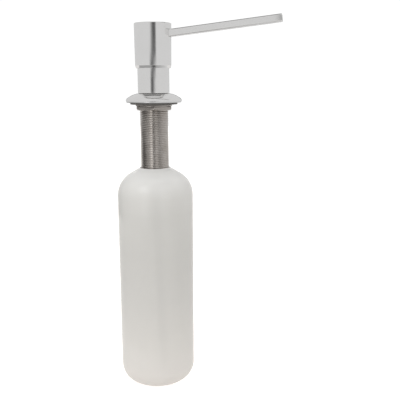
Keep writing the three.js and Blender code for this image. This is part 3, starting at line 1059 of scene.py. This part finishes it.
def by_ray(tree, camera, glossy, matt):
    """A level for what the camera sees, one for what shines, and one, given by a socket, for what
    lights matt surfaces."""
    path = tree.nodes.new("ShaderNodeLightPath")
    for ray, level in (("Is Glossy Ray", glossy), ("Is Camera Ray", camera)):
        pick = tree.nodes.new("ShaderNodeMix")
        tree.links.new(path.outputs[ray], pick.inputs["Factor"])
        tree.links.new(matt, pick.inputs["A"])
        pick.inputs["B"].default_value = level
        matt = pick.outputs["Result"]
    return matt


def add_world():
    """Even light in front of a white background."""
    world = bpy.data.worlds.new("studio")
    world.use_nodes = True
    bpy.context.scene.world = world
    tree = world.node_tree
    tree.nodes.clear()
    background = tree.nodes.new("ShaderNodeBackground")
    background.inputs["Color"].default_value = (1, 1, 1, 1)
    direction = tree.nodes.new("ShaderNodeTexCoord").outputs["Generated"]
    split = tree.nodes.new("ShaderNodeSeparateXYZ")
    tree.links.new(direction, split.inputs["Vector"])
    sky = tree.nodes.new("ShaderNodeMapRange")
    sky.inputs["To Min"].default_value = HORIZON_LEVEL
    sky.inputs["To Max"].default_value = ZENITH_LEVEL
    tree.links.new(split.outputs["Z"], sky.inputs["Value"])
    strength = by_ray(tree, BACKGROUND_LEVEL, LIGHT_LEVEL, sky.outputs["Result"])
    tree.links.new(strength, background.inputs["Strength"])
    output = tree.nodes.new("ShaderNodeOutputWorld")
    tree.links.new(background.outputs[0], output.inputs["Surface"])


def add_floor():
    """A white sweep under the bottle, a little self-lit so that only the contact shows."""
    reach = 3000                       # millimetres, as mesh_object takes them
    corners = ((-reach, -reach), (reach, -reach), (reach, reach), (-reach, reach))
    floor = mesh_object("floor", [(x, y, FLOOR_Z / MM) for x, y in corners], [(0, 1, 2, 3)])
    material = bpy.data.materials.new("floor")
    material.use_nodes = True
    tree = material.node_tree
    shader = tree.nodes["Principled BSDF"]
    shader.inputs["Base Color"].default_value = (0.7, 0.69, 0.68, 1)
    shader.inputs["Roughness"].default_value = 0.9
    shader.inputs["Specular IOR Level"].default_value = 0
    shader.inputs["Emission Color"].default_value = (1, 0.965, 0.935, 1)
    matt = tree.nodes.new("ShaderNodeValue").outputs["Value"]
    matt.default_value = FLOOR_LIT
    strength = by_ray(tree, FLOOR_SEEN, FLOOR_MIRRORED, matt)
    tree.links.new(strength, shader.inputs["Emission Strength"])
    floor.data.materials.append(material)


def toward(azimuth, elevation, distance, centre_z=0.0):
    """A point in a direction from the axis. Azimuth 0 is the camera's side, positive to its right."""
    a = VIEW_AZIMUTH + azimuth
    flat = distance * math.cos(elevation)
    return Vector((flat * math.sin(a), -flat * math.cos(a), centre_z + distance * math.sin(elevation)))


def by_bounce(tree, first, later):
    """One level for what a polished surface mirrors, and one for what it sees in another mirror.
    Each is a number or a socket."""
    path = tree.nodes.new("ShaderNodeLightPath")
    second = tree.nodes.new("ShaderNodeMath")
    second.operation = "GREATER_THAN"
    second.inputs[1].default_value = SECOND_BOUNCE
    tree.links.new(path.outputs["Glossy Depth"], second.inputs[0])
    pick = tree.nodes.new("ShaderNodeMix")
    tree.links.new(second.outputs["Value"], pick.inputs["Factor"])
    for key, level in (("A", first), ("B", later)):
        if isinstance(level, float):
            pick.inputs[key].default_value = level
        else:
            tree.links.new(level, pick.inputs[key])
    return pick.outputs["Result"]


def ramp_card(name, hoops, stops, steps=24, deep=False):
    """A skin between hoops (radius, z, strength) round the axis, which glows by azimuth. stops are
    (degrees from the camera's side, level). A deep card shows only from the second bounce on, and in
    the first it is as bright as the studio round it."""
    first, last = stops[0][0], stops[-1][0]
    angles = [first + (last - first) * i / steps for i in range(steps + 1)]
    points = [toward(math.radians(a), 0, r, z) / MM for r, z, _ in hoops for a in angles]
    count = steps + 1
    faces = [
        (row + i, row + i + 1, row + count + i + 1, row + count + i)
        for row in range(0, count * (len(hoops) - 1), count) for i in range(steps)
    ]
    band = mesh_object(name, points, faces)
    levels = band.data.attributes.new("level", "FLOAT", "POINT")
    for i, degrees in enumerate(angles * len(hoops)):
        below = max(stop for stop in stops if stop[0] <= degrees + TINY)
        above = min(stop for stop in stops if stop[0] >= degrees - TINY)
        share = 0 if above[0] == below[0] else (degrees - below[0]) / (above[0] - below[0])
        levels.data[i].value = (below[1] + (above[1] - below[1]) * share) * hoops[i // count][2]

    def level(tree):
        read = tree.nodes.new("ShaderNodeAttribute")
        read.attribute_name = "level"
        return by_bounce(tree, LIGHT_LEVEL, read.outputs["Fac"]) if deep else read.outputs["Fac"]

    reflected_only(band, level)


FLAG_HEIGHT = 9                        # above the spout's top, in millimetres
FLAG_NEAR, FLAG_FAR = 0.4, 10          # in front of the spout's side, in millimetres
FLAG_LEVEL = 0.13


def spout_flag():
    """A dark strip over the spout, parallel to it and higher than the head. It draws the thin line
    along the spout's top edge, and only a first reflection sees it."""
    z = SPOUT_HEIGHT / 2 + FLAG_HEIGHT
    front = -SPOUT_WIDTH / 2
    ends = (HEAD_SKIRT_R, SPOUT_TIP)
    corners = [spout_point(x, front - y, z) for x, y in (
        (ends[0], FLAG_FAR), (ends[1], FLAG_FAR), (ends[1], FLAG_NEAR), (ends[0], FLAG_NEAR),
    )]
    flag = mesh_object("spout_flag", corners, [(0, 1, 2, 3)])
    reflected_only(flag, lambda tree: by_bounce(tree, FLAG_LEVEL, LIGHT_LEVEL))


SLIT_R = 4                             # distance of the dark slits that the chrome mirrors
SLIT_LOW, SLIT_SPLIT, SLIT_HIGH = -0.5, 0.09, 0.65
RIM_Z = 0.0006                         # just above the worktop, below the flange's rim
RIM_INNER, RIM_OUTER, RIM_ROUND = 0.0232, 0.0252, 0.0256
BAND_R = 0.045                         # of the cards close round the shank
BAND_LOW, BAND_MIDDLE, BAND_HIGH = -0.1, -0.045, 0.0005
NUT_BAND_LOW, THREAD_BAND_HIGH = -0.009, -0.0092    # the two meet a little below the nut


def add_cards():
    """What the chrome and the threads mirror."""
    full = LIGHT_LEVEL
    # a dark slit down the head and the collar, and another on their far side
    head_slit = [
        (-20, full), (-15, 0.58), (-9, 0.36), (-2, 0.17), (4, 0.09), (12, 0.1), (17, 0.28), (22, full),
    ]
    collar_slit = [(-26, full), (-20, 0.36), (-14, 0.08), (-7, 0.08), (-1, 0.25), (8, 0.5), (15, full)]
    back_slit = [(160, full), (168, 0.15), (186, 0.1), (194, full)]
    ramp_card("head_slit", [(SLIT_R, SLIT_SPLIT, 1), (SLIT_R, SLIT_HIGH, 1)], head_slit)
    ramp_card("collar_slit", [(SLIT_R, SLIT_LOW, 1), (SLIT_R, SLIT_SPLIT, 1)], collar_slit)
    ramp_card("back_slit", [(SLIT_R, SLIT_LOW, 1), (SLIT_R, SLIT_HIGH, 1)], back_slit)
    # a high dark band, which shows where the flange mirrors the collar
    high = [(-108, full), (-90, 0.24), (90, 0.24), (108, full)]
    ramp_card("high_ring", [(3.65, 1.63, 1), (2.5, 3.12, 1)], high, 48, deep=True)
    spout_flag()
    # the chamfer of the head's skirt, and the underside of the flange's rim
    skirt = [
        (-180, 0.36), (-20, 0.36), (-14, 0.3), (-2, 0.12), (6, 0.1), (14, 0.2), (20, 0.38),
        (60, 0.5), (100, full), (140, full), (180, 0.36),
    ]
    ramp_card("skirt_ring", [(0.05, -0.03, 1), (0.16, -0.03, 1)], skirt, 180)
    edge = [(-180, 0.4), (-30, 0.34), (30, 0.5), (180, 0.45)]
    ramp_card("under_rim", [(RIM_INNER, RIM_Z, 1), (RIM_OUTER, RIM_Z, 1)], edge, 48)
    ramp_card("round_rim", [(RIM_ROUND, RIM_Z, 1), (BAND_R, RIM_Z, 1)], [(-180, 0.62), (180, 0.62)], 48)
    # bright and dark stripes down the nut and the thread
    nut = [
        (-180, 0.6), (-100, 0.36), (-30, 0.36), (-8, 0.45),
        (8, 0.6), (40, 0.64), (90, 0.64), (180, 0.6),
    ]
    ramp_card("nut_band", [(BAND_R, NUT_BAND_LOW, 1), (BAND_R, BAND_HIGH, 1)], nut, 96)
    thread = [
        (-180, 1.0), (-135, 1.2), (-108, 0.25), (-92, 0.08), (-78, 0.25), (-60, 0.6), (-45, 0.75),
        (-36, 0.9), (-28, 1.9), (-19, 2.4), (-14, 0.6), (-6, 0.02), (1, 0.4), (10, 1.0), (20, 1.0),
        (30, 0.45), (45, 0.45), (58, 0.85), (80, 0.88), (100, 0.95), (135, 0.9), (180, 0.9),
    ]
    hoops = [(BAND_R, BAND_LOW, 0.75), (BAND_R, BAND_MIDDLE, 0.78), (BAND_R, THREAD_BAND_HIGH, 1)]
    ramp_card("thread_band", hoops, thread, 120)


KEY_AZIMUTH, KEY_ELEVATION = math.radians(-46), math.radians(38)
KEY_DISTANCE, KEY_AIM_Z = 0.9, -0.07
KEY_SIZE, KEY_WATTS = 0.14, 1.2


def add_key_light():
    """A soft lamp up to the left, which leaves a highlight on the bottle's shoulder."""
    data = bpy.data.lights.new("key", "AREA")
    data.shape = "DISK"
    data.size = KEY_SIZE
    data.energy = KEY_WATTS
    light = bpy.data.objects.new("key", data)
    bpy.context.scene.collection.objects.link(light)
    light.location = toward(KEY_AZIMUTH, KEY_ELEVATION, KEY_DISTANCE, KEY_AIM_Z)
    lit = bpy.data.collections.new("lit by the key lamp")
    lit.objects.link(pieces["bottle"])
    light.light_linking.receiver_collection = lit
    aim = Vector((0, 0, KEY_AIM_Z)) - light.location
    light.rotation_euler = aim.to_track_quat("-Z", "Y").to_euler()


add_camera()
add_world()
add_floor()
add_cards()
add_key_light()

bpy.context.scene.view_settings.view_transform = "Standard"
bpy.context.scene.view_settings.look = "None"

bpy.context.view_layer.update()
